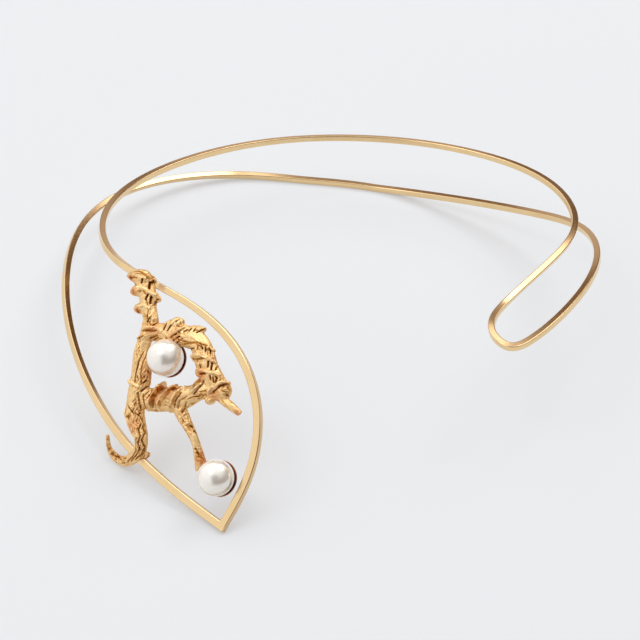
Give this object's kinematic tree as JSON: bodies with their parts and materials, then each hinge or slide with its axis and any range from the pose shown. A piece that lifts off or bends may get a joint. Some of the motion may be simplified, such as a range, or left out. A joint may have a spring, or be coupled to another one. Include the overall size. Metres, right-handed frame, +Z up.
{
  "type": "neck ring",
  "caption": "Rigid gold neck ring of square wire that runs twice round the neck, with a leaf-shaped front frame, a cast branch across it and pearls in cups.",
  "frame": {"origin": "bottom centre of the bounding box, on the surface the ring lies on", "axes": "+Z up from the surface it lies on; +Y from the leaf's tip at the front to the back of the neck; +X to the right, seen from the front"},
  "size_m": [0.1264, 0.1289, 0.033],
  "materials": {
    "gold": "polished wire, satin cast branch",
    "pearl": "nacre, soft gloss"
  },
  "bodies": {
    "root": {"gold_neck_ring": "gold", "upper_pearl": "pearl", "lower_pearl": "pearl"}
  },
  "joints": []
}
